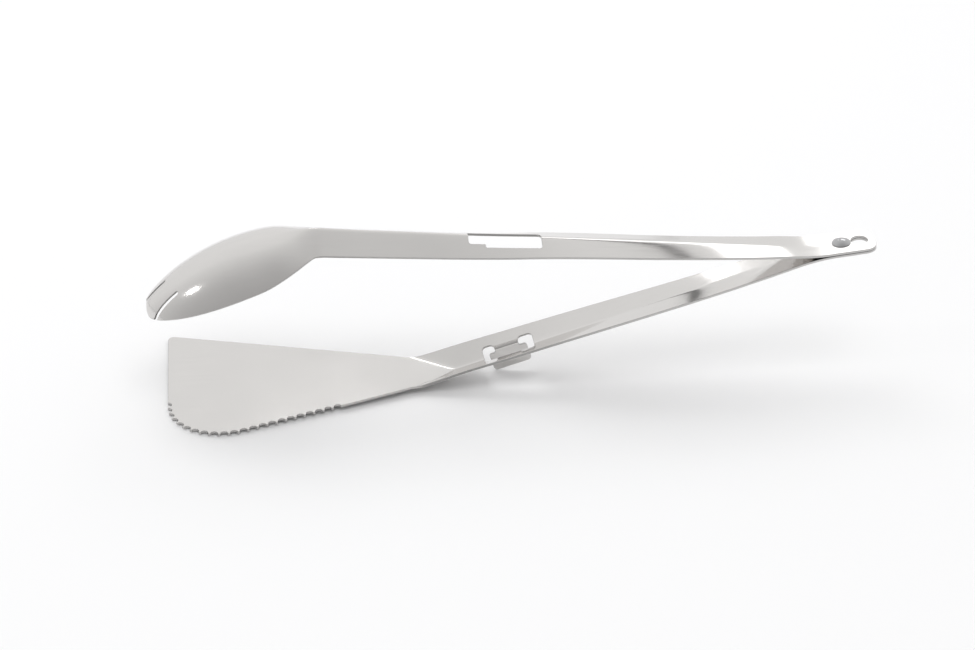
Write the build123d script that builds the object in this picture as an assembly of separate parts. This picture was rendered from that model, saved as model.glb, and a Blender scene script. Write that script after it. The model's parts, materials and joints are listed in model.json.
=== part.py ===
from build123d import *
from math import asin, atan2, cos, degrees, hypot, radians, sin, tan
import os

# Spork-and-turner tongs pressed from two strips of stainless sheet. Each strip is a tang, a leaf
# spring and a V-section arm that ends in a head; one rivet holds the two tangs together.
# Lengths are in mm. +X points at the hanging end, +Y is the turner's plain edge, +Z is up, and
# the origin is on the table, under the middle of the tongs' bounding box.

# Sheet and tangs
SHEET = 0.9
TANG_WIDTH = 14.8
TANG_GAP = 0.05
HANG_END = 12.3             # rivet axis to the hanging end
END_CORNER_R = 5.8
HANG_HOLE_R = 3.1
HANG_HOLE_X = 6.8           # rivet axis to the hanging hole's axis
TANG_PITCH = 5.72           # degrees above the blade's plane

# Rivet
RIVET_R = 1.6
RIVET_CLEARANCE = 0.05
HEAD_R = 3.5
HEAD_HEIGHT = 1.5
FORMED_HEAD_R = 2.7
FORMED_HEAD_HEIGHT = 0.9
FORMED_HEAD_TAPER = 0.75    # its radius at the foot, as a share of the radius at the sheet

# Arms: s is the developed length from the start of the bend, which is next to the tang
BEND_START = 4.0            # rivet axis to the start of the bend
BEND_LENGTH = 13.2
BEND_ANGLE = 12.05
BEND_STEPS = 4
FLARE = 0.0246              # half width gained for each mm of arm
SPRING_LENGTH = 42.0
CROWN = 1.0                 # rounded part of the ridge, to each side of it
TURNER_ARM_LENGTH = 145.3   # to the point where the V runs out into the blade
SPORK_ARM_LENGTH = 190.4    # to the crease where the bowl starts
TURNER_V = [(0, 0), (20, 0), (35, 1.2), (50, 3.6), (70, 8.2), (88, 12.7), (107, 17), (126, 20.5),
            (145, 24), (172, 24)]
SPORK_V = [(0, 0), (15, 0.5), (27, 6), (42, 11), (65, 15.5), (85, 17), (105, 19.5), (125, 25),
           (150, 27.5), (190.4, 27.5)]

# Turner blade, flat in the plane z = 0 to SHEET before the tongs are set down
BLADE_END = -250.1
BLADE_FAR = 36.2            # from the middle line to the end corner
BLADE_NEAR = 40.0           # to the near corner before it is rounded
CREASE_END = (-160.5, 10.4)
FAR_CORNER_R = 2.0
NEAR_CORNER_R = 20.0
TOOTH_COUNT = 22
TOOTH_PITCH = 3.6
TOOTH_START = -1.0          # from the start of the rounded corner, on the end edge
NOTCH_R = 1.4
REST_INSET = 30             # from the blade's end to the middle of the face that it rests on

# Window and hook tab in the turner arm, and lock slot in the spork arm
WINDOW = (115.2, 134.6, -4.4, 4.1)
WINDOW_CORNER_R = 1.6
RELIEF_DEPTH = 1.3
RELIEF_OVERLAP = 1.5        # how far a relief notch reaches back into the window
TAB_NECK = (120.8, 130.0)
TAB_HEAD = (118.0, 132.6)
TAB_SHOULDER = 1.4
TAB_FOOT = 7.3              # below the valley's outside
TAB_CORNER_R = 1.5
SLOT = (108.5, 135.3, -4.6, 5.1)
SLOT_CORNER_R = 1.2
SLOT_STEP_LENGTH = 6.2
SLOT_STEP = 1.3
CUT_REACH = 12              # half height of a prism that cuts through an arm

# Spork bowl: x runs from the neck's crease to the tips, in the plane of the rim
BOWL_DROP = 27.9            # degrees that the bowl turns down from the arm
BOWL_LENGTH = 64.8
BOWL_HALF_WIDTH = 20.8
BOWL_WIDEST_X = 22.5
BOWL_TIP_HALF_WIDTH = 4.6
BOWL_DEPTH = 11.8
BOWL_DEEPEST_X = 31.5
BOWL_TIP_RISE = 1.9
BOWL_SWELL_POWER = 1.2      # how late the rim swells out from the neck
BOWL_CLOSE_POWERS = (2.3, 0.625)
BOWL_FALL_POWERS = (2, 0.75)
ARCH_POWERS = (1.15, 2.25)  # of the arched section, at the neck and past the neck's length
NECK_LENGTH = 14.0
BOWL_STATIONS = 13
STATION_POWER = 0.9         # crowds the stations towards the tips
ARCH_STEPS = 8              # points on each half of an arch
BOWL_CUT_LIMIT = 1.5        # most that a slanting cut lengthens the sheet's section
TINE_SLOT_WIDTH = 1.2
TINE_SLOTS = [(-9.3, 50.0), (0.0, 54.3), (9.3, 50.0)]
TINE_SLOT_EXCESS = 2.0      # how far a tine slot's cutter reaches past the tips


def between(table, s):
    """Value at s on the straight lines through the table's points."""
    for (s0, v0), (s1, v1) in zip(table, table[1:]):
        if s <= s1:
            return v0 + (v1 - v0) * (s - s0) / (s1 - s0)
    return table[-1][1]


def arm_plane(side):
    """Frame of one strip at the rivet: x to the heads, z outward, side +1 on top, -1 below."""
    pitch = radians(TANG_PITCH)
    return Plane(
        origin=(0, 0, PIVOT_Z),
        x_dir=(-cos(pitch), 0, -sin(pitch)),
        z_dir=(-side * sin(pitch), 0, side * cos(pitch)),
    )


def outer_path(s):
    """Outer face of a strip on its centre line: x, z and slope in the strip's frame."""
    bend_radius = BEND_LENGTH / radians(BEND_ANGLE)
    slope = radians(BEND_ANGLE) * min(s / BEND_LENGTH, 1)
    straight = max(s - BEND_LENGTH, 0)
    x = BEND_START + bend_radius * sin(slope) + straight * cos(slope)
    z = TANG_GAP / 2 + SHEET + bend_radius * (1 - cos(slope)) + straight * sin(slope)
    return x, z, slope


def v_profile(s, opening):
    """Points round the V section at s, as (across, depth below the outer ridge)."""
    slope = radians(between(opening, s))
    half = TANG_WIDTH / 2 + FLARE * s
    sag = CROWN * tan(slope / 2)
    outer = [(r * cos(slope), r * sin(slope)) for r in (half, CROWN)]
    inner = [(y - SHEET * sin(slope), d + SHEET * cos(slope)) for y, d in outer]
    right = outer + [(0, sag)] + [(-y, d) for y, d in reversed(outer)]
    left = [(-y, d) for y, d in inner] + [(0, sag + SHEET)] + list(reversed(inner))
    return right + left


def v_section(s, opening):
    """The V section at s as a face across the strip."""
    x, z, slope = outer_path(s)
    points = []
    for across, depth in v_profile(s, opening):
        points.append((x + depth * sin(slope), across, z - depth * cos(slope)))
    return Face(Wire.make_polygon([Vector(*p) for p in points], close=True))


def v_strip(start, end, opening):
    """Stretch of a strip from start to end, in the strip's frame."""
    stations = [BEND_LENGTH * i / BEND_STEPS for i in range(BEND_STEPS + 1)]
    stations += [s for s, _ in opening]
    marks = {start, end, *(s for s in stations if start < s < end)}
    return loft([v_section(s, opening) for s in sorted(marks)], ruled=True)


def tang():
    """Flat end of a strip with the rivet hole and the hanging hole, in the strip's frame."""
    length = HANG_END + BEND_START
    plate = Pos((BEND_START - HANG_END) / 2, 0) * Rectangle(length, TANG_WIDTH)
    corners = [v for v in plate.vertices() if v.X < 0]
    plate = fillet(corners, END_CORNER_R)
    plate -= Pos(-HANG_HOLE_X, 0) * Circle(HANG_HOLE_R)
    plate -= Circle(RIVET_R + RIVET_CLEARANCE)
    return Pos(0, 0, TANG_GAP / 2) * extrude(plate, SHEET)


def window_cutter():
    """Window of the turner arm: an opening with a relief notch at each end of the tab."""
    s0, s1, y0, y1 = WINDOW
    rectangle = RectangleRounded(s1 - s0, y1 - y0, WINDOW_CORNER_R)
    opening = Pos((s0 + s1) / 2, (y0 + y1) / 2) * rectangle
    for a, b in ((s0, TAB_NECK[0]), (TAB_NECK[1], s1)):
        notch = RectangleRounded(b - a, RELIEF_DEPTH + 2 * RELIEF_OVERLAP, WINDOW_CORNER_R)
        opening += Pos((a + b) / 2, y1 + RELIEF_DEPTH / 2 - RELIEF_OVERLAP) * notch
    return opening


def slot_cutter():
    """Lock slot of the spork arm, a little narrower at the end next to the bowl."""
    s0, s1, y0, y1 = SLOT
    rectangle = RectangleRounded(s1 - s0, y1 - y0, SLOT_CORNER_R)
    opening = Pos((s0 + s1) / 2, (y0 + y1) / 2) * rectangle
    step = Pos(s1 - SLOT_STEP_LENGTH / 2, y1 - SLOT_STEP / 2)
    opening -= step * Rectangle(SLOT_STEP_LENGTH, SLOT_STEP)
    return opening


def straight_frame():
    """Frame of a strip's straight part: x is s, y is across and z = 0 is the outer ridge."""
    x, z, slope = outer_path(BEND_LENGTH)
    return Plane(
        origin=(x - BEND_LENGTH * cos(slope), 0, z - BEND_LENGTH * sin(slope)),
        x_dir=(cos(slope), 0, sin(slope)),
        z_dir=(-sin(slope), 0, cos(slope)),
    )


def through_arm(sketch):
    """Prism that cuts a sketch, drawn along s and across, through the straight part of a strip."""
    return straight_frame().location * extrude(sketch, CUT_REACH, both=True)


def hook_tab():
    """Tab bent down from the window's edge, with a head wider than its neck."""
    flange_depth = WINDOW[3] * tan(radians(between(TURNER_V, sum(TAB_NECK) / 2)))
    neck_height = flange_depth + TAB_SHOULDER + 1
    head_height = TAB_FOOT - TAB_SHOULDER
    neck = Pos(sum(TAB_NECK) / 2, neck_height / 2 - flange_depth)
    head = Pos(sum(TAB_HEAD) / 2, TAB_SHOULDER + head_height / 2)
    outline = neck * Rectangle(TAB_NECK[1] - TAB_NECK[0], neck_height)
    outline += head * RectangleRounded(TAB_HEAD[1] - TAB_HEAD[0], head_height, TAB_CORNER_R)
    upright = Plane(origin=(0, WINDOW[3] - SHEET / 2, 0), x_dir=(1, 0, 0), z_dir=(0, -1, 0))
    return (straight_frame().location * upright.location) * extrude(outline, SHEET / 2, both=True)


def tooth_notches():
    """Centres of the notches, from the end edge round the near corner to the near edge."""
    fan = atan2(BLADE_NEAR - CREASE_END[1], CREASE_END[0] - BLADE_END)
    turn = radians(90) + fan
    reach = NEAR_CORNER_R * tan(turn / 2)
    centre = (BLADE_END + NEAR_CORNER_R, reach - BLADE_NEAR)
    arc = NEAR_CORNER_R * turn
    for i in range(TOOTH_COUNT):
        run = TOOTH_START + TOOTH_PITCH * i
        angle = radians(180) + run / NEAR_CORNER_R
        if run < 0:
            yield BLADE_END, centre[1] - run
        elif run < arc:
            yield centre[0] + NEAR_CORNER_R * cos(angle), centre[1] + NEAR_CORNER_R * sin(angle)
        else:
            along = reach + run - arc
            yield BLADE_END + along * cos(fan), along * sin(fan) - BLADE_NEAR


def blade_corner(face, side):
    """The vertex at the blade's end on the given side, +1 far or -1 near."""
    return max(face.vertices(), key=lambda v: side * v.Y)


def blade():
    """Turner blade with its creases, its rounded near corner and its scalloped edge."""
    outline = Polyline(
        (VALLEY_END_X, 0),
        CREASE_END,
        (BLADE_END, BLADE_FAR),
        (BLADE_END, -BLADE_NEAR),
        (CREASE_END[0], -CREASE_END[1]),
        close=True,
    )
    face = make_face(outline)
    face = fillet(blade_corner(face, +1), FAR_CORNER_R)
    face = fillet(blade_corner(face, -1), NEAR_CORNER_R)
    for x, y in tooth_notches():
        face -= Pos(x, y) * Circle(NOTCH_R)
    return extrude(face, SHEET)


def bowl_half_width(x):
    """Half width of the rim at x: swells from the neck, then closes as an ellipse does."""
    neck = (TANG_WIDTH / 2 + FLARE * SPORK_ARM_LENGTH) * cos(radians(SPORK_V[-1][1]))
    if x < BOWL_WIDEST_X:
        swell = sin(radians(90) * x / BOWL_WIDEST_X) ** BOWL_SWELL_POWER
        return neck + (BOWL_HALF_WIDTH - neck) * swell
    v = (x - BOWL_WIDEST_X) / (BOWL_LENGTH - BOWL_WIDEST_X)
    inner, outer = BOWL_CLOSE_POWERS
    return BOWL_TIP_HALF_WIDTH + (BOWL_HALF_WIDTH - BOWL_TIP_HALF_WIDTH) * (1 - v**inner) ** outer


def bowl_crest(x):
    """Height of the bowl's back above the rim at x."""
    neck = (TANG_WIDTH / 2 + FLARE * SPORK_ARM_LENGTH) * sin(radians(SPORK_V[-1][1]))
    if x < BOWL_DEEPEST_X:
        return neck + (BOWL_DEPTH - neck) * sin(radians(90) * x / BOWL_DEEPEST_X)
    v = (x - BOWL_DEEPEST_X) / (BOWL_LENGTH - BOWL_DEEPEST_X)
    inner, outer = BOWL_FALL_POWERS
    return BOWL_TIP_RISE + (BOWL_DEPTH - BOWL_TIP_RISE) * (1 - v**inner) ** outer


def arch(x, plane):
    """Cross-section of the bowl's sheet at x, on the given plane."""
    half = bowl_half_width(x)
    crest = bowl_crest(x)
    fall = crest - bowl_crest(min(x + 1, BOWL_LENGTH))
    sheet = SHEET * min(hypot(1, fall), BOWL_CUT_LIMIT)
    at_neck, past_neck = ARCH_POWERS
    power = at_neck + (past_neck - at_neck) * min(x / NECK_LENGTH, 1)
    steps = [i / ARCH_STEPS for i in range(-ARCH_STEPS, ARCH_STEPS + 1)]
    outer = [(u * half, crest * (1 - abs(u) ** power)) for u in steps]
    inner = [(u * (half - SHEET), (crest - sheet) * (1 - abs(u) ** power)) for u in steps]
    outer = [plane.from_local_coords(Vector(y, z, 0)) for y, z in outer]
    inner = [plane.from_local_coords(Vector(y, z, 0)) for y, z in reversed(inner)]
    edges = [
        Edge.make_spline(outer),
        Edge.make_line(outer[-1], inner[0]),
        Edge.make_spline(inner),
        Edge.make_line(inner[-1], outer[0]),
    ]
    return Face(Wire(edges))


def bowl():
    """Spork bowl with four tines, in the strip's frame."""
    x, z, arm_slope = outer_path(SPORK_ARM_LENGTH)
    rim_depth = (TANG_WIDTH / 2 + FLARE * SPORK_ARM_LENGTH) * sin(radians(SPORK_V[-1][1]))
    base = Vector(x + rim_depth * sin(arm_slope), 0, z - rim_depth * cos(arm_slope))
    across = Vector(0, 1, 0)
    bowl_slope = arm_slope - radians(BOWL_DROP)
    axis = Vector(cos(bowl_slope), 0, sin(bowl_slope))
    sections = []
    for i in range(BOWL_STATIONS):
        station = BOWL_LENGTH * sin(radians(90) * i / (BOWL_STATIONS - 1)) ** STATION_POWER
        slope = bowl_slope if i else arm_slope
        up = Vector(-sin(slope), 0, cos(slope))
        section_plane = Plane(origin=base + axis * station, x_dir=across, z_dir=across.cross(up))
        sections.append(arch(station, section_plane))
    shell = loft(sections, ruled=True)
    rim = Plane(origin=base, x_dir=axis, z_dir=axis.cross(across))
    for y, start in TINE_SLOTS:
        reach = BOWL_LENGTH + TINE_SLOT_EXCESS - start
        slot = Pos(start + reach / 2, y) * SlotOverall(reach, TINE_SLOT_WIDTH)
        shell -= rim.location * extrude(slot, 2 * BOWL_DEPTH, both=True)
    return shell


def standing(shape, z):
    """The shape moved up to stand on height z."""
    return Pos(0, 0, z) * shape


def rivet():
    """Dome-headed rivet through both tangs, upset underneath, in the upper strip's frame."""
    on_base = (Align.CENTER, Align.CENTER, Align.MIN)
    top = TANG_GAP * 1.5 + SHEET
    foot = -TANG_GAP / 2 - SHEET
    dome_r = (HEAD_R**2 + HEAD_HEIGHT**2) / (2 * HEAD_HEIGHT)
    dome = standing(Sphere(dome_r), top + HEAD_HEIGHT - dome_r)
    head = dome & standing(Cylinder(HEAD_R, HEAD_HEIGHT, align=on_base), top)
    shank = standing(Cylinder(RIVET_R, top - foot, align=on_base), foot)
    foot_r = FORMED_HEAD_R * FORMED_HEAD_TAPER
    upset = Cone(foot_r, FORMED_HEAD_R, FORMED_HEAD_HEIGHT, align=on_base)
    return head + shank + standing(upset, foot - FORMED_HEAD_HEIGHT)


def turner_arm():
    """V-section arm of the turner, run out into its blade, with the window and the hook tab."""
    strip = arm_plane(-1).location * v_strip(SPRING_LENGTH, TURNER_V[-1][0], TURNER_V)
    room = 2 * abs(BLADE_END)
    on_base = (Align.CENTER, Align.CENTER, Align.MIN)
    above_table = Pos(BLADE_END / 2, 0) * Box(room, room, room, align=on_base)
    arm = (strip & above_table) + blade()
    arm -= arm_plane(-1).location * through_arm(window_cutter())
    return arm + arm_plane(-1).location * hook_tab()


def spork_arm():
    """V-section arm of the spork, with the lock slot and the bowl."""
    arm = v_strip(SPRING_LENGTH, SPORK_ARM_LENGTH, SPORK_V) + bowl()
    arm -= through_arm(slot_cutter())
    return arm_plane(+1).location * arm


def rest_pitch():
    """Angle that the tongs lean by when the blade's end and the tab's foot are on the table."""
    centre = (TAB_HEAD[1] - TAB_CORNER_R, 0, TAB_FOOT - TAB_CORNER_R)
    corner = arm_plane(-1).location * straight_frame().location * Pos(*centre)
    x, _, z = corner.position
    reach = hypot(x - BLADE_END, z)
    return degrees(asin(TAB_CORNER_R / reach) - atan2(z, x - BLADE_END))


end_x, end_z, _ = outer_path(TURNER_ARM_LENGTH)
pitch = radians(TANG_PITCH)
PIVOT_Z = end_x * sin(pitch) + end_z * cos(pitch)
VALLEY_END_X = end_z * sin(pitch) - end_x * cos(pitch)

on_top = arm_plane(+1).location
below = arm_plane(-1).location
parts = {
    "turner_arm": turner_arm(),
    "turner_spring": below * v_strip(0, SPRING_LENGTH, TURNER_V),
    "turner_tang": below * tang(),
    "rivet": on_top * rivet(),
    "spork_tang": on_top * tang(),
    "spork_spring": on_top * v_strip(0, SPRING_LENGTH, SPORK_V),
    "spork_arm": spork_arm(),
}

# Lean the tongs about the blade's end until the tab's foot is down, then centre them
lean = Pos(BLADE_END, 0, 0) * Rot(0, -rest_pitch(), 0) * Pos(-BLADE_END, 0, 0)
box = Compound([lean * shape for shape in parts.values()]).bounding_box()
place = Pos(-box.center().X, -box.center().Y, -box.min.Z) * lean

os.makedirs("parts", exist_ok=True)
for name, shape in parts.items():
    export_step(place * shape, f"parts/{name}.step")

# Points and directions that the joints and the mounts use
spring_x, spring_z, _ = outer_path(SPRING_LENGTH / 2)
for name, spot in (
    ("rivet axis", on_top),
    ("hanging hole", on_top * Pos(-HANG_HOLE_X, 0, 0)),
    ("spork flex", on_top * Pos(spring_x, 0, spring_z)),
    ("turner flex", below * Pos(spring_x, 0, spring_z)),
    ("blade underside", Pos(BLADE_END + REST_INSET, 0, 0)),
):
    spot = place * spot
    normal = spot * Pos(0, 0, 1)
    point = [round(v, 3) for v in spot.position]
    direction = [round(v, 5) for v in normal.position - spot.position]
    print(name, point, direction)
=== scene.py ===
import json
from math import atan2, cos, hypot, pi, radians, sin, tan

import bmesh
import bpy
import numpy as np
from mathutils import Matrix, Vector
from mathutils.geometry import delaunay_2d_cdt


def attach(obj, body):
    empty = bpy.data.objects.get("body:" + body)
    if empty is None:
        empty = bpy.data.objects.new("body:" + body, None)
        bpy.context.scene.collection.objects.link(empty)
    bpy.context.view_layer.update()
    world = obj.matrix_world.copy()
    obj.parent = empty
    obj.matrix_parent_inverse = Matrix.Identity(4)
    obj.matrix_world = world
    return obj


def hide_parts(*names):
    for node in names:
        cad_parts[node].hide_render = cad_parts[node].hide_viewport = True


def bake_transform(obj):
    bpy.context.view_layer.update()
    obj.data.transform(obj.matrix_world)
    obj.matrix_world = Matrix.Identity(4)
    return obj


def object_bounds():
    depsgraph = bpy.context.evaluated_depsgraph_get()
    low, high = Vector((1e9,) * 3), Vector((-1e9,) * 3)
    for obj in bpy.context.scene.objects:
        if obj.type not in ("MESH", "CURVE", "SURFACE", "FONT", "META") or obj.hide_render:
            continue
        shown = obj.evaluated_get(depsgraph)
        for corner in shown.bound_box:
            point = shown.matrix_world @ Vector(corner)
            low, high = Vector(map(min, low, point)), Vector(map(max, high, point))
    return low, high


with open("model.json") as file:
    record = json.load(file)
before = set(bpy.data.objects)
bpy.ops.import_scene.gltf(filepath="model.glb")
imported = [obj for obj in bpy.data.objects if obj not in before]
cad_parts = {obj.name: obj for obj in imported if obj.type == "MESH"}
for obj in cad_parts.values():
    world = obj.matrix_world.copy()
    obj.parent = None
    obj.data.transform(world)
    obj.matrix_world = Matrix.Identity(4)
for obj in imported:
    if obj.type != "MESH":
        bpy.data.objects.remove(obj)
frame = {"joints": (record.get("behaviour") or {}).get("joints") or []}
cad_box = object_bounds()

# The two strips are modelled as what they are: flat blanks, described in blank coordinates
# (s along the strip, y across it, in mm), that a surface function presses into shape.
MM = 0.001
SHEET = 0.9
EDGE_R = 0.16               # rounding of the cut edges
RIDGE_R = 0.55              # sharpness of the folded ridge
CREASE_R = 0.45             # sharpness of the creases at the blade's root

# Tangs, with s = 0 where the strip starts to bend
TANG_WIDTH = 14.8
TANG_GAP = 0.05             # between the two tangs
TANG_PITCH = radians(5.72)  # of the tangs to the flat blade
HANG_END = 12.3             # rivet axis to the hanging end
END_CORNER_R = 4.4
HANG_HOLE_R = 3.1
HANG_HOLE_X = 6.8           # rivet axis to the hanging hole's axis

# Rivet
RIVET_R = 1.6
RIVET_HOLE_R = 1.65
HEAD_R = 3.5
HEAD_HEIGHT = 1.5
HEAD_ROLL = 0.18            # width of the rounding at the head's rim
FORMED_HEAD_R = 2.7
FORMED_HEAD_HEIGHT = 0.9
FORMED_HEAD_WALL = 0.32     # height of its upright rim

# Arms. Each table holds (s, V angle in degrees) along a strip
BEND_START = 4.0            # rivet axis to the start of the bend
BEND_LENGTH = 13.2
BEND_ANGLE = radians(12.05)
FLARE = 0.0246              # half width gained for each mm of arm
SPRING_LENGTH = 42.0
TURNER_ARM_LENGTH = 145.3
SPORK_ARM_LENGTH = 190.4
TURNER_V = [
    (-20, 0), (20, 0), (35, 1.2), (50, 3.6), (70, 8.2), (88, 12.7), (107, 17), (126, 20.5),
    (145, 24), (172, 24), (260, 24),
]
SPORK_V = [
    (-20, 0), (15, 0.5), (27, 6), (42, 11), (65, 15.5), (85, 17), (105, 19.5), (125, 25),
    (150, 27.5), (280, 27.5),
]

# Blade, in its own level frame, with x = 0 under the rivet and negative towards its end
BLADE_END = -250.1
BLADE_FAR = 36.2
BLADE_NEAR = 40.0
CREASE_END = (-160.5, 10.4)
V_FADE = 27.0               # length in which the V flattens past the arm
FAR_CORNER_R = 2.0
NEAR_CORNER_R = 20.0
TOOTH_COUNT = 22
TOOTH_PITCH = 3.6
TOOTH_START = -1.0          # first notch, before the start of the near corner
NOTCH_R = 1.4

# Window and hook tab of the turner's arm: s and y of their ends
WINDOW = (115.2, 134.6, -4.4, 4.1)
WINDOW_CORNER_R = 1.6
RELIEF_DEPTH = 1.3          # of the notches beside the tab's neck
TAB_NECK = (120.8, 130.0)
TAB_HEAD = (118.0, 132.6)
TAB_SHOULDER = -0.2         # depth where the head starts, below the ridge line
TAB_FOOT = 7.3              # depth where it ends
TAB_NECK_R = 0.7
TAB_SHOULDER_R = 0.9
TAB_CORNER_R = 1.5
TAB_BEND_R = 0.8
TAB_END_Y = -3.9            # where the tab ends on the blank
TAB_MARGIN = (0.6, 0.3)     # how far past the tab's outline its bend is worked out, in s and y

# Lock slot of the spork's arm
SLOT = (108.5, 135.3, -4.6, 5.1)
SLOT_CORNER_R = 1.2
SLOT_STEP_LENGTH = 6.2
SLOT_STEP = 1.3
SLOT_STEP_RS = (0.96, 0.3, 0.4)     # radii of the step's three corners

# Bowl, with x = 0 at the neck
BOWL_DROP = radians(27.9)   # that the bowl turns down from the arm
BOWL_LENGTH = 64.8
BOWL_HALF_WIDTH = 20.8
BOWL_WIDEST_X = 22.5
BOWL_TIP_HALF_WIDTH = 4.6
BOWL_CLOSE_POWERS = (2.3, 0.625)    # shape of the rim from the widest part to the tips
BOWL_DEPTH = 11.8
BOWL_DEEPEST_X = 31.5
BOWL_TIP_RISE = 3.0         # depth at the tine tips
BOWL_FALL_POWERS = (2, 0.85)        # shape of the back from the deepest part to the tips
BOWL_ROUNDING = 1.25        # power that its cross section gains over the V's straight sides
NECK_FOLD = 3.2             # half length of the fold between the arm and the bowl
NECK_LENGTH = 14.0          # length in which the V rounds out into the bowl
TINE_SLOT_WIDTH = 1.2
SIDE_SLOT = (50.0, 9.3)     # x and y of the inner end of each slot
MIDDLE_SLOT = (54.3, 0.0)

# Mesh spacing
ARC_STEP = 0.35             # along rounded corners
FINE_ARC_STEP = 0.25
EDGE_STEP = 1.6             # along straight cut edges
EDGE_CLEARANCE = 0.3        # between the inner points and the cut edges
MITRE_LIMIT = 0.45          # least cosine of half a corner's turn that an inset corner follows
NORMAL_STEP = 0.04          # for the surface's slopes
BITE_STEPS = 9              # of a notch's half circle
# rows of inner points: (first s, last s, spacing), and their places as shares of the half width
TURNER_ROWS = [(-15, 30, 1.5), (30, 112, 2.0), (112, 168, 1.0), (168, 252, 4.0)]
TURNER_SHARES = [0, 0.05, 0.1, 0.17, 0.28, 0.42, 0.56, 0.7, 0.85]
SPORK_ROWS = [(-15, 30, 1.5), (30, 184, 2.0), (184, SPORK_ARM_LENGTH, 0.8)]
SPORK_SHARES = [0, 0.035, 0.07, 0.11, 0.17, 0.25, 0.35, 0.46, 0.58, 0.7, 0.82, 0.92]
BOWL_ROWS = 60
BOWL_EDGE_POINTS = 140
CREASE_ROWS = 46
CREASE_LENGTH = 18.0
CREASE_OFFSETS = (-1.6, -0.9, -0.45, 0, 0.45, 0.9, 1.6)


# Curves
def smooth_table(table, s):
    """Smooth curve through the table's points, at the values s."""
    xs = np.array([p[0] for p in table], float)
    ys = np.array([p[1] for p in table], float)
    chords = np.diff(ys) / np.diff(xs)
    slopes = np.concatenate([[0], (chords[:-1] + chords[1:]) / 2, [0]])
    flat = np.concatenate([[False], (chords[:-1] == 0) | (chords[1:] == 0), [False]])
    slopes[flat] = 0
    s = np.clip(s, xs[0], xs[-1])
    i = np.clip(np.searchsorted(xs, s) - 1, 0, len(xs) - 2)
    width = xs[i + 1] - xs[i]
    t = (s - xs[i]) / width
    rise = ys[i + 1] - ys[i]
    bend = slopes[i] * width * t * (1 - t) ** 2 - slopes[i + 1] * width * t * t * (1 - t)
    return ys[i] + rise * t * t * (3 - 2 * t) + bend


def smooth_step(value, start, end):
    t = np.clip((value - start) / (end - start), 0, 1)
    return t * t * (3 - 2 * t)


def quarter_sine(x, length):
    """Rise from 0 to 1 over the length, levelling off at its end."""
    return np.sin(pi / 2 * np.clip(x / length, 0, 1))


# The strips' frames at the rivet, from the record's own joint
swing = next(joint for joint in frame["joints"] if joint["name"] == "swing")
PIVOT = Vector(swing["pos_m"]) / MM
UP = Vector(swing["axis"]).normalized()
ALONG = UP.cross(Vector((0, 1, 0))).normalized()
if ALONG.x > 0:
    ALONG.negate()


def strip_matrix(side):
    """Turn from a strip's frame: x to the heads, z outward, side +1 on top and -1 below."""
    z = UP * side
    y = z.cross(ALONG)
    return np.array([list(ALONG), list(y), list(z)], float).T


def to_row(local, side):
    """A strip's points in the frame of the whole object, in mm."""
    return np.array(PIVOT) + local @ strip_matrix(side).T


# Both strips
def arm_half_width(s, opening):
    """Half width of a strip across, once its V is folded."""
    beta = np.radians(smooth_table(opening, s))
    return (TANG_WIDTH / 2 + FLARE * np.maximum(s, 0)) * np.cos(beta)


def outer_path(s):
    """Outer face of a strip on its centre line: x, z and slope in the strip's frame."""
    radius = BEND_LENGTH / BEND_ANGLE
    slope = BEND_ANGLE * np.clip(s / BEND_LENGTH, 0, 1)
    straight = np.maximum(s - BEND_LENGTH, 0)
    x = BEND_START + np.minimum(s, 0) + radius * np.sin(slope) + straight * np.cos(slope)
    z = TANG_GAP / 2 + SHEET + radius * (1 - np.cos(slope)) + straight * np.sin(slope)
    return x, z, slope


def v_depth(s, y, opening):
    """Depth of the folded face below the sharp ridge line."""
    beta = np.radians(smooth_table(opening, s))
    return np.tan(beta) * np.sqrt(y * y + RIDGE_R**2)


# Turner
V_END_X, V_END_Z, _ = (float(v) for v in outer_path(TURNER_ARM_LENGTH))
PIVOT_HEIGHT = V_END_X * sin(TANG_PITCH) + V_END_Z * cos(TANG_PITCH)    # above the blade
BLADE_ORIGIN = TURNER_ARM_LENGTH + V_END_Z * sin(TANG_PITCH) - V_END_X * cos(TANG_PITCH)
BLADE_SLOPE = TANG_PITCH + BEND_ANGLE                                   # arm to blade


def blade_s(x):
    """Blank coordinate s of a point of the blade."""
    return BLADE_ORIGIN - x


def tab_bend():
    """The hook tab's bend: V angle there, y of its start, its centre, length and blank scale."""
    beta = radians(float(smooth_table(TURNER_V, np.array([sum(TAB_NECK) / 2]))[0]))
    start = WINDOW[3] + TAB_BEND_R * (1 - sin(beta))
    centre_y = start + TAB_BEND_R * sin(beta)
    centre_out = -tan(beta) * start + TAB_BEND_R * cos(beta)
    arc = TAB_BEND_R * (pi / 2 - beta)
    length = arc + TAB_FOOT - centre_out
    return beta, start, centre_y, centre_out, arc, length / (start - TAB_END_Y)


TAB_BETA, TAB_START_Y, TAB_CENTRE_Y, TAB_CENTRE_OUT, TAB_ARC, TAB_STRETCH = tab_bend()


def on_tab(s, y):
    """Which blank points belong to the hook tab, inside the window."""
    margin_s, margin_y = TAB_MARGIN
    along = (s > TAB_HEAD[0] - margin_s) & (s < TAB_HEAD[1] + margin_s)
    return along & (y < TAB_START_Y) & (y > TAB_END_Y - margin_y)


def tab_section(s, y):
    """y and depth of the tab's points, bent down from the window's far edge."""
    run = np.maximum(TAB_START_Y - y, 0) * TAB_STRETCH
    turn = np.minimum(TAB_BETA + run / TAB_BEND_R, pi / 2)
    outward = TAB_CENTRE_OUT - TAB_BEND_R * np.cos(turn) + np.maximum(run - TAB_ARC, 0)
    seam = tan(TAB_BETA) * TAB_START_Y
    lift = v_depth(s, np.full_like(y, TAB_START_Y), TURNER_V) - seam
    return TAB_CENTRE_Y - TAB_BEND_R * np.sin(turn), lift - outward


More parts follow.
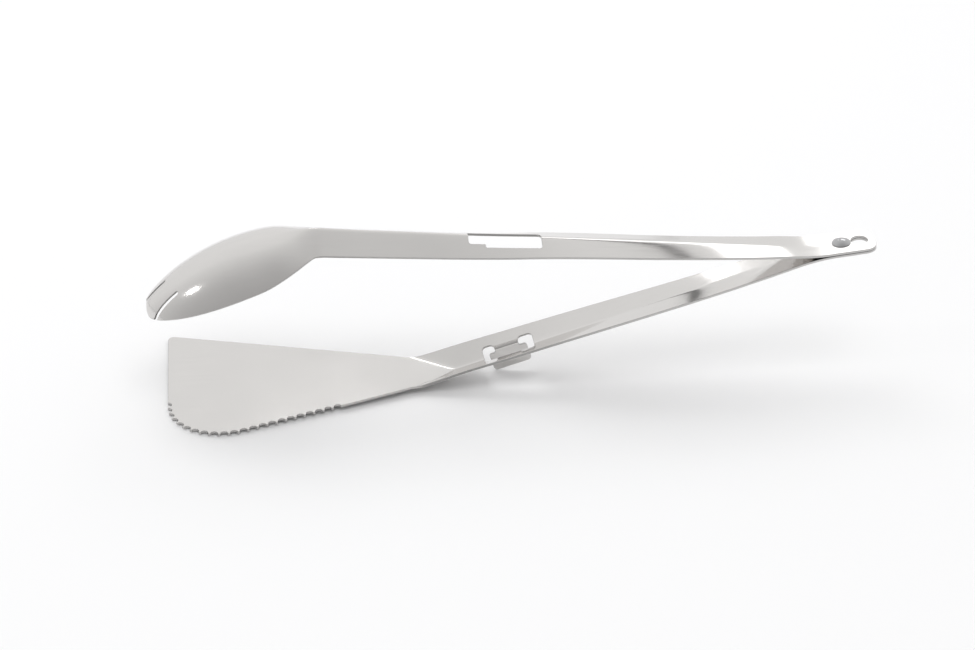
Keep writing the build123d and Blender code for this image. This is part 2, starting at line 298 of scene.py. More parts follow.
def arm_in_blade_frame(s, depth):
    """x and z of the arm's points in the blade's frame."""
    x, z, slope = outer_path(np.minimum(s, TURNER_ARM_LENGTH))
    px = x + depth * np.sin(slope)
    pz = z - depth * np.cos(slope)
    blade_x = -px * cos(TANG_PITCH) + pz * sin(TANG_PITCH)
    return blade_x, PIVOT_HEIGHT - px * sin(TANG_PITCH) - pz * cos(TANG_PITCH)


def run_out(s, depth):
    """x and z, in the blade's frame, where the V runs on into the blade's plane."""
    fade = 1 - smooth_step(s, TURNER_ARM_LENGTH, TURNER_ARM_LENGTH + V_FADE)
    blade_x = BLADE_ORIGIN - s - depth * sin(BLADE_SLOPE) * fade
    root = BLADE_ORIGIN - TURNER_ARM_LENGTH
    return blade_x, (blade_x - root) * tan(BLADE_SLOPE) + depth / cos(BLADE_SLOPE)


def turner_surface(s, y):
    """Outer face, the underside, of the turner strip, as points in its strip frame."""
    tab = on_tab(s, y)
    tab_across, tab_depth = tab_section(s, y)
    across = np.where(tab, tab_across, y)
    depth = np.where(tab, tab_depth, v_depth(s, y, TURNER_V))

    past = s > TURNER_ARM_LENGTH
    arm_x, arm_z = arm_in_blade_frame(s, depth)
    root_x, root_z = run_out(s, depth)
    blade_x = np.where(past, root_x, arm_x)
    blade_z = np.where(past, root_z, arm_z)
    pressed = (blade_z + np.sqrt(blade_z**2 + CREASE_R**2)) / 2
    blade_z = np.where(tab, blade_z, pressed)

    drop = PIVOT_HEIGHT - blade_z
    local_x = -blade_x * cos(TANG_PITCH) + drop * sin(TANG_PITCH)
    local_z = blade_x * sin(TANG_PITCH) + drop * cos(TANG_PITCH)
    return np.stack([local_x, across, local_z], axis=1)


# Spork
def bowl_half_width(x):
    """Half width of the bowl's rim."""
    neck = float(arm_half_width(np.array([SPORK_ARM_LENGTH]), SPORK_V)[0])
    swollen = neck + (BOWL_HALF_WIDTH - neck) * quarter_sine(x, BOWL_WIDEST_X)
    v = np.clip((x - BOWL_WIDEST_X) / (BOWL_LENGTH - BOWL_WIDEST_X), 0, 1)
    inner, outer = BOWL_CLOSE_POWERS
    closing = (BOWL_HALF_WIDTH - BOWL_TIP_HALF_WIDTH) * (1 - v**inner) ** outer
    return np.where(x < BOWL_WIDEST_X, swollen, BOWL_TIP_HALF_WIDTH + closing)


def bowl_stations(start, end, count):
    """Places along the bowl from the share start to the share end, closer near the tips."""
    return BOWL_LENGTH * np.sin(pi / 2 * np.linspace(start, end, count)) ** 0.9


def spork_half_width(s):
    x = s - SPORK_ARM_LENGTH
    return np.where(x < 0, arm_half_width(s, SPORK_V), bowl_half_width(x))


def spork_rim(s, rim_depth):
    """x, z and slope of the line between the spork's two long edges."""
    x, z, slope = outer_path(np.minimum(s, SPORK_ARM_LENGTH - NECK_FOLD))
    rim_x = x + rim_depth * np.sin(slope)
    rim_z = z - rim_depth * np.cos(slope)

    # the fold at the neck is an arc, then the bowl's rim runs straight
    past = s - (SPORK_ARM_LENGTH - NECK_FOLD)
    radius = 2 * NECK_FOLD / BOWL_DROP
    heading = BEND_ANGLE - np.clip(past / radius, 0, BOWL_DROP)
    straight = np.maximum(past - 2 * NECK_FOLD, 0)
    rim_x += radius * (sin(BEND_ANGLE) - np.sin(heading)) + straight * np.cos(heading)
    rim_z += radius * (np.cos(heading) - cos(BEND_ANGLE)) + straight * np.sin(heading)
    return rim_x, rim_z, np.where(past > 0, heading, slope)


def bowl_crest(bowl_x, rim_depth):
    """Height of the spork's back above its rim on the centre line."""
    eased = (bowl_x + np.sqrt(bowl_x**2 + NECK_FOLD**2)) / 2
    eased = np.where(bowl_x < -4 * NECK_FOLD, 0, eased)
    rising = rim_depth + (BOWL_DEPTH - rim_depth) * quarter_sine(eased, BOWL_DEEPEST_X)
    v = np.clip((bowl_x - BOWL_DEEPEST_X) / (BOWL_LENGTH - BOWL_DEEPEST_X), 0, 1)
    inner, outer = BOWL_FALL_POWERS
    falling = BOWL_TIP_RISE + (BOWL_DEPTH - BOWL_TIP_RISE) * (1 - v**inner) ** outer
    return np.where(bowl_x < BOWL_DEEPEST_X, rising, falling)


def spork_surface(s, y):
    """Outer face, the back, of the spork strip, as points in its strip frame."""
    flat_half = TANG_WIDTH / 2 + FLARE * np.clip(s, 0, SPORK_ARM_LENGTH)
    rim_depth = flat_half * np.sin(np.radians(smooth_table(SPORK_V, s)))
    x, z, slope = spork_rim(s, rim_depth)
    bowl_x = s - SPORK_ARM_LENGTH
    power = 1 + BOWL_ROUNDING * smooth_step(bowl_x, -NECK_FOLD, NECK_LENGTH)
    half = spork_half_width(s)
    ratio = np.sqrt((y / half) ** 2 + (RIDGE_R / half) ** 2)
    height = bowl_crest(bowl_x, rim_depth) * (1 - ratio**power)
    return np.stack([x - height * np.sin(slope), y, z + height * np.cos(slope)], axis=1)


# Outlines
def rounded(corners, step=ARC_STEP):
    """Closed outline through corners (s, y, radius), with an arc at each."""
    points = []
    for i, (corner_s, corner_y, radius) in enumerate(corners):
        here = Vector((corner_s, corner_y))
        back = (Vector(corners[i - 1][:2]) - here).normalized()
        ahead = (Vector(corners[(i + 1) % len(corners)][:2]) - here).normalized()
        turn = back.angle(ahead)
        if radius <= 0 or turn > pi - 1e-3:
            points.append(here)
            continue
        centre = here + (back + ahead).normalized() * (radius / sin(turn / 2))
        first = here + back * (radius / tan(turn / 2)) - centre
        sweep = pi - turn
        if first.x * back.y - first.y * back.x > 0:
            sweep = -sweep
        steps = max(3, int(abs(sweep) * radius / step))
        start = atan2(first.y, first.x)
        for k in range(steps + 1):
            angle = start + sweep * k / steps
            points.append(centre + radius * Vector((cos(angle), sin(angle))))
    return np.array([list(p) for p in points], float)


def circle(s, y, radius, steps=48):
    angles = 2 * pi * np.arange(steps) / steps
    return np.stack([s + radius * np.cos(angles), y + radius * np.sin(angles)], axis=1)


def tang_end():
    """The rounded hanging end, from the y > 0 edge round to the y < 0 edge."""
    half = TANG_WIDTH / 2
    end = -(HANG_END + BEND_START)
    corners = [(0, half, 0), (end, half, END_CORNER_R), (end, -half, END_CORNER_R), (0, -half, 0)]
    return rounded(corners)[1:-1]


def tang_holes():
    """The hanging hole and the rivet's hole."""
    hanging = circle(-(BEND_START + HANG_HOLE_X), 0, HANG_HOLE_R)
    riveted = circle(-BEND_START, 0, RIVET_HOLE_R, 32)
    return [hanging, riveted]


def long_edge(stations, half_width, side):
    """One long edge of a strip, as blank points at the stations."""
    return np.stack([stations, side * half_width(stations)], axis=1)


def blade_far_edge():
    """The blade's outline from the far crease along its plain edge to the middle of its end."""
    crease_x, crease_y = CREASE_END
    return rounded([
        (blade_s(crease_x), crease_y, 0),
        (blade_s(BLADE_END), BLADE_FAR, FAR_CORNER_R),
        (blade_s(BLADE_END), 0, 0),
    ])[:-1]


def blade_near_edge():
    """The rest of it: down the end, round the scalloped corner and up to the near crease."""
    crease_x, crease_y = CREASE_END
    fan = atan2(BLADE_NEAR - crease_y, crease_x - BLADE_END)
    turn = radians(90) + fan
    reach = NEAR_CORNER_R * tan(turn / 2)
    arc = NEAR_CORNER_R * turn
    centre = np.array([BLADE_END + NEAR_CORNER_R, reach - BLADE_NEAR])

    def place(run):
        """Point on the edge at run, and the heading there."""
        if run < 0:
            return np.array([BLADE_END, centre[1] - run]), np.array([0.0, -1.0])
        if run < arc:
            angle = pi + run / NEAR_CORNER_R
            spot = centre + NEAR_CORNER_R * np.array([cos(angle), sin(angle)])
            return spot, np.array([-sin(angle), cos(angle)])
        heading = np.array([cos(fan), sin(fan)])
        return np.array([BLADE_END, -BLADE_NEAR]) + (reach + run - arc) * heading, heading

    points = []
    for i in range(TOOTH_COUNT):
        run = TOOTH_START + TOOTH_PITCH * i
        spot, heading = place(run)
        inward = np.array([-heading[1], heading[0]])
        for k in range(BITE_STEPS + 1):
            angle = pi * k / BITE_STEPS
            points.append(spot - NOTCH_R * (heading * cos(angle) - inward * sin(angle)))
        points.append(place(run + TOOTH_PITCH / 2)[0])
    last = TOOTH_START + TOOTH_PITCH * TOOTH_COUNT
    length = arc - reach + hypot(crease_x - BLADE_END, BLADE_NEAR - crease_y)
    points += [place(run)[0] for run in np.arange(last, length, 2.0)]
    near = np.array(points)
    return np.stack([blade_s(near[:, 0]), near[:, 1]], axis=1)


def window_outline():
    """The window with its two relief notches, round the hook tab that reaches into it."""
    s0, s1, y0, y1 = WINDOW
    top = y1 + RELIEF_DEPTH
    shoulder = TAB_START_Y - (TAB_ARC + TAB_SHOULDER - TAB_CENTRE_OUT) / TAB_STRETCH
    r = WINDOW_CORNER_R
    return rounded([
        (s0, y0, r), (s1, y0, r), (s1, top, r), (TAB_NECK[1], top, r),
        (TAB_NECK[1], shoulder, TAB_NECK_R), (TAB_HEAD[1], shoulder, TAB_SHOULDER_R),
        (TAB_HEAD[1], TAB_END_Y, TAB_CORNER_R), (TAB_HEAD[0], TAB_END_Y, TAB_CORNER_R),
        (TAB_HEAD[0], shoulder, TAB_SHOULDER_R), (TAB_NECK[0], shoulder, TAB_NECK_R),
        (TAB_NECK[0], top, r), (s0, top, r),
    ], FINE_ARC_STEP)


def turner_half_width(s):
    """Half width of the turner's arm, then of its near side as the blade fans out."""
    crease_x, crease_y = CREASE_END
    fan = np.interp(BLADE_ORIGIN - s, [BLADE_END, crease_x], [BLADE_NEAR, crease_y])
    return np.where(s < blade_s(crease_x), arm_half_width(s, TURNER_V), fan)


def turner_loops():
    """Outline and holes of the turner's blank."""
    stations = np.arange(0, blade_s(CREASE_END[0]) - 1, 1.5)
    blade = np.concatenate([blade_far_edge(), blade_near_edge()])
    outline = np.concatenate([
        tang_end(),
        long_edge(stations, turner_half_width, -1),
        blade[::-1],
        long_edge(stations, turner_half_width, +1)[::-1],
    ])
    return outline, [window_outline(), *tang_holes()]


def tine_edge():
    """Half of the bowl's rim, from the neck to the middle of the tips, with the slots."""
    xs = bowl_stations(0, 1, BOWL_EDGE_POINTS)
    rim = np.stack([xs, bowl_half_width(xs)], axis=1)
    past = xs > BOWL_WIDEST_X
    half_slot = TINE_SLOT_WIDTH / 2
    slot_y = SIDE_SLOT[1]
    outer_side = rim[~past | (rim[:, 1] > slot_y + half_slot)]
    inner_side = rim[past & (rim[:, 1] < slot_y - half_slot)]
    angles = np.linspace(pi / 2, 3 * pi / 2, 9)
    bend = half_slot * np.stack([1 + np.cos(angles), np.sin(angles)], axis=1)

    def on_rim(y):
        return [[float(np.interp(-y, -rim[past, 1], xs[past])), y]]

    half = np.concatenate([
        outer_side,
        on_rim(slot_y + half_slot),
        np.array(SIDE_SLOT) + bend,
        on_rim(slot_y - half_slot),
        inner_side,
        [[BOWL_LENGTH, y] for y in np.linspace(BOWL_TIP_HALF_WIDTH, half_slot, 8)[1:]],
        (np.array(MIDDLE_SLOT) + bend)[:5],
    ])
    return half + [SPORK_ARM_LENGTH, 0]


def slot_outline():
    """The lock slot, with a step at one corner."""
    s0, s1, y0, y1 = SLOT
    r = SLOT_CORNER_R
    step_s, step_y = s1 - SLOT_STEP_LENGTH, y1 - SLOT_STEP
    outer_r, step_r, top_r = SLOT_STEP_RS
    return rounded([
        (s0, y0, r), (s1, y0, r), (s1, step_y, outer_r), (step_s, step_y, step_r),
        (step_s, y1, top_r), (s0, y1, r),
    ], FINE_ARC_STEP)


def spork_loops():
    """Outline and holes of the spork's blank."""
    stations = np.arange(0, SPORK_ARM_LENGTH - 0.5, 1.5)
    edge = np.concatenate([long_edge(stations, spork_half_width, +1), tine_edge()])
    outline = np.concatenate([tang_end(), edge * [1, -1], edge[::-1][1:]])
    return outline, [slot_outline(), *tang_holes()]


# Flat meshing of a blank
def dense(points, spacing):
    """The closed outline with long edges divided."""
    out = []
    for a, b in zip(points, np.roll(points, -1, axis=0)):
        steps = max(1, int(hypot(*(b - a)) / spacing))
        for k in range(steps):
            out.append(a + (b - a) * k / steps)
    return np.array(out)


def signed_area(points):
    x, y = points.T
    return 0.5 * np.sum(x * np.roll(y, -1) - y * np.roll(x, -1))


def unit(vectors):
    return vectors / np.linalg.norm(vectors, axis=1)[:, None]


def inset(points, distance):
    """The closed outline moved into the metal by distance, with mitred corners."""
    back = unit(points - np.roll(points, 1, axis=0))
    ahead = unit(np.roll(points, -1, axis=0) - points)
    normal_back = np.stack([-back[:, 1], back[:, 0]], axis=1)
    normal_ahead = np.stack([-ahead[:, 1], ahead[:, 0]], axis=1)
    mean = unit(normal_back + normal_ahead)
    stretch = 1 / np.clip(np.sum(mean * normal_back, axis=1), MITRE_LIMIT, 1)
    return points + mean * (distance * stretch)[:, None]


def inside(points, loop):
    """Which of the points lie inside the closed outline."""
    px, py = points[:, 0][:, None], points[:, 1][:, None]
    ax, ay = loop[:, 0][None], loop[:, 1][None]
    bx, by = np.roll(loop[:, 0], -1)[None], np.roll(loop[:, 1], -1)[None]
    crosses = (ay > py) != (by > py)
    with np.errstate(divide="ignore", invalid="ignore"):
        reach = (bx - ax) * (py - ay) / (by - ay) + ax
    return (np.sum(crosses & (px < reach), axis=1) % 2) == 1


def in_metal(points, loops):
    """Which of the points lie inside the first outline and outside the others, the holes."""
    keep = inside(points, loops[0])
    for hole in loops[1:]:
        keep &= ~inside(points, hole)
    return keep


def clearance(points, loops):
    """Distance from each point to the nearest outline edge."""
    best = np.full(len(points), np.inf)
    for loop in loops:
        for a, b in zip(loop, np.roll(loop, -1, axis=0)):
            edge = b - a
            t = np.clip((points - a) @ edge / (edge @ edge), 0, 1)
            gap = np.linalg.norm(points - a - t[:, None] * edge, axis=1)
            best = np.minimum(best, gap)
    return best


def triangulate(loops, grid):
    """Triangles between the outlines and through the grid's points.

    Gives the points, the triangles, and for each outline the points that it runs through.
    """
    grid = grid[in_metal(grid, loops) & (clearance(grid, loops) > EDGE_CLEARANCE)]
    edges, first = [], 0
    for loop in loops:
        count = len(loop)
        edges += [(first + k, first + (k + 1) % count) for k in range(count)]
        first += count
    points = [Vector(p) for p in np.concatenate([*loops, grid])]
    made, _, triangles, origins, _, _ = delaunay_2d_cdt(points, edges, [], 0, 1e-5)
    flat = np.array([list(p) for p in made])
    triangles = np.array([t for t in triangles if len(t) == 3])
    triangles = triangles[in_metal(flat[triangles].mean(axis=1), loops)]
    made_from = {source: index for index, sources in enumerate(origins) for source in sources}
    loop_ids, first = [], 0
    for loop in loops:
        loop_ids.append([made_from[first + k] for k in range(len(loop))])
        first += len(loop)
    return flat, triangles, loop_ids


# Pressing a blank into a sheet
def face_and_normal(surface, blank):
    """The surface's points and unit normals at the blank's points."""
    s, y = blank.T
    h = NORMAL_STEP
    along = surface(s + h, y) - surface(s - h, y)
    across = surface(s, y + h) - surface(s, y - h)
    return surface(s, y), unit(np.cross(along, across))


def cut_edge_profile():
    """Quarter round, flat wall and quarter round: shares of reach, depths and normal angles."""
    turns = (pi / 4, pi / 2)
    outer = [(sin(t), EDGE_R * (1 - cos(t)), t) for t in turns]
    lower = [(sin(t), SHEET - EDGE_R * (1 - cos(t)), pi - t) for t in reversed(turns)]
    return outer + lower


def cut_edge(rim, start, start_normal):
    """Rings of points and normals from a face's border round the cut edge."""
    outward = rim - start
    reach = np.linalg.norm(outward, axis=1)[:, None]
    outward = unit(outward - np.sum(outward * start_normal, axis=1)[:, None] * start_normal)
    rings = []
    for share, depth, turn in cut_edge_profile():
        spots = start + outward * reach * share - start_normal * depth
        rings.append((spots, start_normal * cos(turn) + outward * sin(turn)))
    return rings


def sheet_object(name, verts, normals, faces, cut, side):
    """Mesh object from strip points, kept within the CAD model's box."""
    rows = np.clip(to_row(verts, side) * MM, np.array(cad_box[0]), np.array(cad_box[1]))
    turned = normals @ strip_matrix(side).T
    mesh = bpy.data.meshes.new(name)
    mesh.from_pydata([tuple(v) for v in rows], [], [tuple(int(i) for i in f) for f in faces])
    mesh.polygons.foreach_set("material_index", cut)
    mesh.validate()
    mesh.update()
    mesh.polygons.foreach_set("use_smooth", [True] * len(mesh.polygons))
    mesh.normals_split_custom_set_from_vertices([tuple(n) for n in turned])
    piece = bpy.data.objects.new(name, mesh)
    bpy.context.scene.collection.objects.link(piece)
    return piece


def pressed_sheet(name, outline, holes, grid, surface, side):
    """A pressed blank: two faces and rounded cut edges with true normals, closed all round."""
    loops = []
    for i, loop in enumerate([outline, *holes]):
        loop = dense(loop, EDGE_STEP)
        runs_anticlockwise = signed_area(loop) > 0
        loops.append(loop if runs_anticlockwise == (i == 0) else loop[::-1])
    borders = [inset(loop, EDGE_R) for loop in loops]
    flat, triangles, border_ids = triangulate(borders, grid)

    outer, normal = face_and_normal(surface, flat)
    used = np.unique(triangles)
    top_index = {v: k for k, v in enumerate(used)}
    low_index = {v: k + len(used) for k, v in enumerate(used)}
    verts = [outer[used], outer[used] - normal[used] * SHEET]
    normals = [normal[used], -normal[used]]
    faces = []
    for a, b, c in triangles:
        faces.append((top_index[a], top_index[b], top_index[c]))
        faces.append((low_index[c], low_index[b], low_index[a]))
    cut = [0] * len(faces)

    total = 2 * len(used)
    for loop, ids in zip(loops, border_ids):
        rim, _ = face_and_normal(surface, loop)
        count = len(ids)
        rings = [[top_index[v] for v in ids]]
        for spots, ring_normals in cut_edge(rim, outer[ids], normal[ids]):
            verts.append(spots)
            normals.append(ring_normals)
            rings.append(range(total, total + count))
            total += count
        rings.append([low_index[v] for v in ids])
        for upper, lower in zip(rings, rings[1:]):
            for k in range(count):
                n = (k + 1) % count
                faces.append((upper[n], upper[k], lower[k], lower[n]))
                cut.append(1)
    return sheet_object(name, np.concatenate(verts), np.concatenate(normals), faces, cut, side)


def blank_grid(stations, shares, half_width):
    """Blank points at the stations, at shares of the half width to both sides."""
    both = np.array([-share for share in shares[:0:-1]] + shares)
    return np.array([(s, q * w) for s, w in zip(stations, half_width(stations)) for q in both])


def crease_grid():
    """Rows of points along the two creases, where the V runs out into the blade."""
    spread = sin(BLADE_SLOPE) / tan(radians(TURNER_V[-1][1]))
    points = []
    for past in np.linspace(0, CREASE_LENGTH, CREASE_ROWS):
        for offset in CREASE_OFFSETS:
            y = past * spread + offset
            if y > 0:
                points += [(TURNER_ARM_LENGTH + past, y), (TURNER_ARM_LENGTH + past, -y)]
    return np.array(points)


def tab_grid():
    """Close rows of points round the hook tab's bend."""
    stations = np.arange(TAB_NECK[0] + 0.6, TAB_NECK[1], 0.8)
    return np.array([(s, y) for s in stations for y in np.arange(2.2, 6.2, 0.25)])


def turner_sheet():
    outline, holes = turner_loops()
    stations = np.concatenate([np.arange(*rows) for rows in TURNER_ROWS])
    grid = blank_grid(stations, TURNER_SHARES, turner_half_width)
    grid = np.concatenate([grid, crease_grid(), tab_grid()])
    return pressed_sheet("turner_sheet", outline, holes, grid, turner_surface, -1)


def spork_sheet():
    outline, holes = spork_loops()
    bowl_x = bowl_stations(0.02, 0.995, BOWL_ROWS)
    stations = np.concatenate([
        *(np.arange(*rows) for rows in SPORK_ROWS), SPORK_ARM_LENGTH + bowl_x,
    ])
    grid = blank_grid(stations, SPORK_SHARES, spork_half_width)
    return pressed_sheet("spork_sheet", outline, holes, grid, spork_surface, +1)


def strip_point(surface, s, side):
    """A strip's centre line point at s, in the frame of the whole object, in metres."""
    local = surface(np.array([float(s)]), np.array([0.0]))
    return tuple(to_row(local, side)[0] * MM)


# Rivet
def rivet_profile():
    """(radius, z) down the rivet: a low dome, the shank, and the upset head below."""
    top = TANG_GAP * 1.5 + SHEET
    foot = -TANG_GAP / 2 - SHEET
    dome_r = (HEAD_R**2 + HEAD_HEIGHT**2) / (2 * HEAD_HEIGHT)
    profile = []
    for k in range(15):
        r = (HEAD_R - HEAD_ROLL) * k / 14
        profile.append((r, top + HEAD_HEIGHT - dome_r + (dome_r**2 - r * r) ** 0.5))
    profile += [(HEAD_R - 0.05, top + 0.22), (HEAD_R, top + 0.12), (HEAD_R - 0.04, top + 0.03)]
    profile += [(HEAD_R - 0.15, top), (RIVET_R, top), (RIVET_R, foot)]
    upset = FORMED_HEAD_R
    profile += [(upset - 0.12, foot), (upset, foot - 0.1), (upset - 0.04, foot - 0.3)]
    crown = FORMED_HEAD_HEIGHT - 0.34
    for k in range(1, 9):
        angle = radians(90) * k / 8
        z = foot - FORMED_HEAD_WALL - crown * sin(angle)
        profile.append(((upset - 0.06) * cos(angle), z))
    return profile


def lathe(bm, profile, steps=72):
    """Faces of the profile turned about z, with a single vertex where it meets the axis."""
    turns = [(cos(2 * pi * k / steps), sin(2 * pi * k / steps)) for k in range(steps)]
    rings = []
    for r, z in profile:
        if r < 1e-6:
            rings.append([bm.verts.new((0, 0, z))])
        else:
            rings.append([bm.verts.new((r * x, r * y, z)) for x, y in turns])
    for upper, lower in zip(rings, rings[1:]):
        for k in range(steps):
            n = (k + 1) % steps
            if len(upper) == 1:
                bm.faces.new((upper[0], lower[k], lower[n]))
            elif len(lower) == 1:
                bm.faces.new((upper[k], lower[0], upper[n]))
            else:
                bm.faces.new((upper[k], lower[k], lower[n], upper[n]))
    bmesh.ops.recalc_face_normals(bm, faces=bm.faces)


def rivet():
    """Turned rivet through both tangs."""
    bm = bmesh.new()
    lathe(bm, rivet_profile())
    mesh = bpy.data.meshes.new("rivet_turned")
    bm.to_mesh(mesh)
    bm.free()
    turn = Matrix([list(row) for row in strip_matrix(+1)]).to_4x4()
    mesh.transform(Matrix.Translation(PIVOT * MM) @ turn @ Matrix.Scale(MM, 4))
    mesh.polygons.foreach_set("use_smooth", [True] * len(mesh.polygons))
    mesh.set_sharp_from_angle(angle=radians(38))
    piece = bpy.data.objects.new("rivet_turned", mesh)
    bpy.context.scene.collection.objects.link(piece)
    return piece


# Materials
def noise(tree, place, scale, detail, stretch):
    """Noise on object coordinates, stretched along the strip by a scale under 1 in x."""
    mapping = tree.nodes.new("ShaderNodeMapping")
    mapping.inputs["Scale"].default_value = stretch
    tree.links.new(place.outputs["Object"], mapping.inputs["Vector"])
    texture = tree.nodes.new("ShaderNodeTexNoise")
    texture.inputs["Scale"].default_value = scale
    texture.inputs["Detail"].default_value = detail
    tree.links.new(mapping.outputs["Vector"], texture.inputs["Vector"])
    return texture.outputs["Fac"]


def spread(tree, value, low, high):
    """The middle of a noise's range, spread from low to high."""
    change = tree.nodes.new("ShaderNodeMapRange")
    change.inputs["From Min"].default_value = 0.3
    change.inputs["From Max"].default_value = 0.7
    change.inputs["To Min"].default_value = low
    change.inputs["To Max"].default_value = high
    tree.links.new(value, change.inputs["Value"])
    return change.outputs["Result"]


def steel_colour(tree, colour, smudge, rolled, grain):
    """Colour, a little darker in the smudges and along the rolled grain."""
    tint = tree.nodes.new("ShaderNodeMix")
    tint.data_type = "RGBA"
    tint.inputs["A"].default_value = (*[c * 0.975 for c in colour], 1)
    tint.inputs["B"].default_value = (*colour, 1)
    tree.links.new(spread(tree, smudge, 0, 1), tint.inputs["Factor"])
    streak = tree.nodes.new("ShaderNodeMix")
    streak.data_type = "RGBA"
    streak.blend_type = "MULTIPLY"
    streak.inputs["B"].default_value = (0.98, 0.98, 0.982, 1)
    tree.links.new(tint.outputs["Result"], streak.inputs["A"])
    tree.links.new(spread(tree, rolled, 0, grain), streak.inputs["Factor"])
    return streak.outputs["Result"]


def steel_roughness(tree, roughness, smudge, rolled, grain):
    """Roughness, changed by the smudges and the rolled grain."""
    total = tree.nodes.new("ShaderNodeMath")
    total.operation = "ADD"
    tree.links.new(spread(tree, smudge, roughness * 0.85, roughness * 1.15), total.inputs[0])
    tree.links.new(spread(tree, rolled, -0.02 * grain, 0.03 * grain), total.inputs[1])
    return total.outputs["Value"]


def steel(name, colour, roughness, grain, scuff):
    """Stainless steel: rolled grain along the strip, faint smudges and fine wear."""
    material = bpy.data.materials.new(name)
    material.use_nodes = True
    tree = material.node_tree
    shader = tree.nodes["Principled BSDF"]
    shader.inputs["Metallic"].default_value = 1.0
    shader.inputs["IOR"].default_value = 2.5
    place = tree.nodes.new("ShaderNodeTexCoord")
    rolled = noise(tree, place, 900, 3, (0.06, 1, 1))
    smudge = noise(tree, place, 38, 4, (1, 1, 1))
    fine = noise(tree, place, 2600, 2, (0.25, 1, 1))

    result = steel_colour(tree, colour, smudge, rolled, grain)
    tree.links.new(result, shader.inputs["Base Color"])
    result = steel_roughness(tree, roughness, smudge, rolled, grain)
    tree.links.new(result, shader.inputs["Roughness"])
    bump = tree.nodes.new("ShaderNodeBump")
    bump.inputs["Strength"].default_value = scuff
    bump.inputs["Distance"].default_value = 0.00002
    tree.links.new(fine, bump.inputs["Height"])
    tree.links.new(bump.outputs["Normal"], shader.inputs["Normal"])
    return material


SHEET_STEEL = steel("sheet_steel", (0.685, 0.67, 0.655), roughness=0.10, grain=0.7, scuff=0.08)
CUT_STEEL = steel("cut_steel", (0.56, 0.55, 0.54), roughness=0.30, grain=1.0, scuff=0.3)
RIVET_STEEL = steel("rivet_steel", (0.46, 0.46, 0.465), roughness=0.12, grain=0.5, scuff=0.10)


# Pieces: the two pressed strips take the place of the CAD's arms, springs and tangs; the turned
# rivet rides on the pivot's body
BLEND_MARGIN = 1.0
BLEND_START, BLEND_END = BLEND_MARGIN, SPRING_LENGTH - BLEND_MARGIN
turner = turner_sheet()
spork = spork_sheet()
for sheet in (turner, spork):
    sheet.data.materials.append(SHEET_STEEL)
    sheet.data.materials.append(CUT_STEEL)
strip_point(turner_surface, BLEND_START, -1)
strip_point(turner_surface, BLEND_END, -1)
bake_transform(turner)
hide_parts("turner_arm", "turner_spring", "turner_tang")
strip_point(spork_surface, BLEND_START, +1)
strip_point(spork_surface, BLEND_END, +1)
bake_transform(spork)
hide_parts("spork_arm", "spork_spring", "spork_tang")
pin = rivet()
pin.data.materials.append(RIVET_STEEL)
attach(pin, "pivot")
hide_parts("rivet")


# Studio
def sheet_of(name, width, height):
    """Flat rectangle about its own origin, which isn't part of the object."""
    w, h = width / 2, height / 2
    mesh = bpy.data.meshes.new(name)
    mesh.from_pydata([(-w, -h, 0), (w, -h, 0), (w, h, 0), (-w, h, 0)], [], [(0, 1, 2, 3)])
    piece = bpy.data.objects.new(name, mesh)
    bpy.context.scene.collection.objects.link(piece)
    material = bpy.data.materials.new(name)
    material.use_nodes = True
    mesh.materials.append(material)
    return piece, material.node_tree.nodes["Principled BSDF"]


def floor():
    piece, shader = sheet_of("floor", 12.0, 12.0)
    piece.location.z = cad_box[0].z - 0.0002
    shader.inputs["Base Color"].default_value = (0.93, 0.93, 0.935, 1)
    shader.inputs["Roughness"].default_value = 0.6
    shader.inputs["Specular IOR Level"].default_value = 0.2


def aimed(piece, place, aim):
    """Put the piece at place, with its -Z side turned to aim."""
    piece.location = place
    piece.rotation_mode = "QUATERNION"
    piece.rotation_quaternion = (Vector(aim) - Vector(place)).to_track_quat("-Z", "Y")


def soft_light(name, place, aim, size, power):
    data = bpy.data.lights.new(name, "AREA")
    data.shape = "RECTANGLE"
    data.size, data.size_y = size
    data.energy = power
    lamp = bpy.data.objects.new(name, data)
    bpy.context.scene.collection.objects.link(lamp)
    aimed(lamp, place, aim)
    return lamp


def dark_card(name, place, size):
    """Small black flag that the polished faces mirror as a dark streak."""
    card, shader = sheet_of(name, *size)
    aimed(card, place, (0, 0, 0))
    shader.inputs["Base Color"].default_value = (0.02, 0.02, 0.02, 1)
    card.visible_camera = False
    card.visible_shadow = False
    card.visible_diffuse = False


def graded(tree, value, low, high, stops):
    """Grey levels at the stops, as the value goes from low to high."""
    change = tree.nodes.new("ShaderNodeMapRange")
    change.inputs["From Min"].default_value = low
    change.inputs["From Max"].default_value = high
    tree.links.new(value, change.inputs["Value"])
    ramp = tree.nodes.new("ShaderNodeValToRGB")
    ends = ramp.color_ramp.elements
    for end, (position, level) in zip((ends[0], ends[1]), (stops[0], stops[-1])):
        end.position = position
        end.color = (level, level, level, 1)
    for position, level in stops[1:-1]:
        ends.new(position).color = (level, level, level, 1)
    tree.links.new(change.outputs["Result"], ramp.inputs["Fac"])
    return ramp.outputs["Color"]


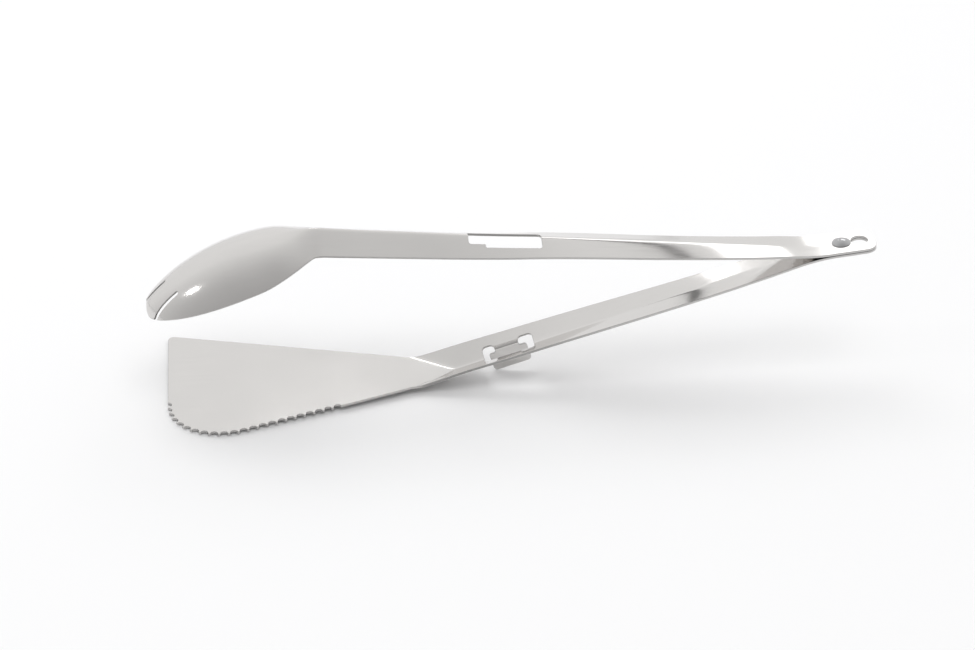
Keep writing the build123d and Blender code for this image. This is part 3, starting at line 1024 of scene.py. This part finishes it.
def studio_world():
    """Pale surround: white behind the object, greyer towards the front side."""
    world = bpy.data.worlds.new("studio")
    bpy.context.scene.world = world
    world.use_nodes = True
    tree = world.node_tree
    background = tree.nodes["Background"]
    background.inputs["Strength"].default_value = 1.0
    place = tree.nodes.new("ShaderNodeTexCoord")
    split = tree.nodes.new("ShaderNodeSeparateXYZ")
    tree.links.new(place.outputs["Generated"], split.inputs["Vector"])
    across = graded(tree, split.outputs["Y"], -1, 1, [
        (0, 0.40), (0.3, 0.60), (0.5, 0.80), (0.6, 0.88), (0.72, 0.97), (1, 1.0),
    ])
    height = graded(tree, split.outputs["Z"], 0, 1, [
        (0, 0.95), (0.5, 1.0), (0.85, 0.97), (1, 0.9),
    ])
    both = tree.nodes.new("ShaderNodeMix")
    both.data_type = "RGBA"
    both.blend_type = "MULTIPLY"
    both.inputs["Factor"].default_value = 1.0
    tree.links.new(across, both.inputs["A"])
    tree.links.new(height, both.inputs["B"])
    tree.links.new(both.outputs["Result"], background.inputs["Color"])


# Lights and cards, in metres: the narrow ones stand where the polished faces mirror them
floor()
studio_world()
soft_light("long_box", (0.45, 0.86, 0.80), (0.08, 0, 0.05), (0.42, 0.40), 0.64)
soft_light("crease_light", (-0.04, 0.965, 0.75), (-0.025, 0, 0.005), (0.13, 0.035), 0.07)
for name, place, power in (("key", (-0.35, 0.85, 1.3), 4.8), ("fill", (0.1, -0.45, 1.5), 3.8)):
    lamp = soft_light(name, place, (0, 0, 0.02), (0.8, 0.8), power)
    lamp.visible_glossy = False
soft_light("spark", (-0.90, -0.13, 0.60), (-0.117, 0, 0.049), (0.055, 0.10), 0.28)
dark_card("flag_high", (0.40, 0.575, 0.98), (0.26, 0.04))
dark_card("flag_low", (-0.06, 1.07, 0.52), (0.09, 0.045))


# Camera: placed in the frame of the flat blade, in mm, then leaned as the tongs lean on the table
CAMERA_AZIMUTH = radians(-6.919)
CAMERA_ELEVATION = radians(31.646)
CAMERA_TARGET = Vector((-131.618, 0, 19.313))
CAMERA_DISTANCE = 800.0
CAMERA_LENS = 80.0
CAMERA_SENSOR = 36.0


def blade_frame():
    """The flat blade's frame, with its origin under the rivet."""
    lean = atan2(-UP.x, UP.z) - TANG_PITCH
    down = Matrix.Translation(Vector((0, 0, -PIVOT_HEIGHT)))
    return Matrix.Translation(PIVOT) @ Matrix.Rotation(-lean, 4, "Y") @ down


def studio_camera():
    data = bpy.data.cameras.new("camera")
    data.lens = CAMERA_LENS
    data.sensor_width = CAMERA_SENSOR
    data.clip_start = 0.01
    data.clip_end = 50.0
    camera = bpy.data.objects.new("camera", data)
    bpy.context.scene.collection.objects.link(camera)
    back = Vector((
        sin(CAMERA_AZIMUTH) * cos(CAMERA_ELEVATION),
        -cos(CAMERA_AZIMUTH) * cos(CAMERA_ELEVATION),
        sin(CAMERA_ELEVATION),
    ))
    turn = (-back).to_track_quat("-Z", "Y").to_matrix().to_4x4()
    stand = Matrix.Translation(CAMERA_TARGET + back * CAMERA_DISTANCE)
    standing = blade_frame() @ stand @ turn
    place = Matrix.Translation(standing.to_translation() * MM)
    camera.matrix_world = place @ standing.to_quaternion().to_matrix().to_4x4()
    bpy.context.scene.camera = camera


studio_camera()
bpy.context.scene.view_settings.view_transform = "Standard"
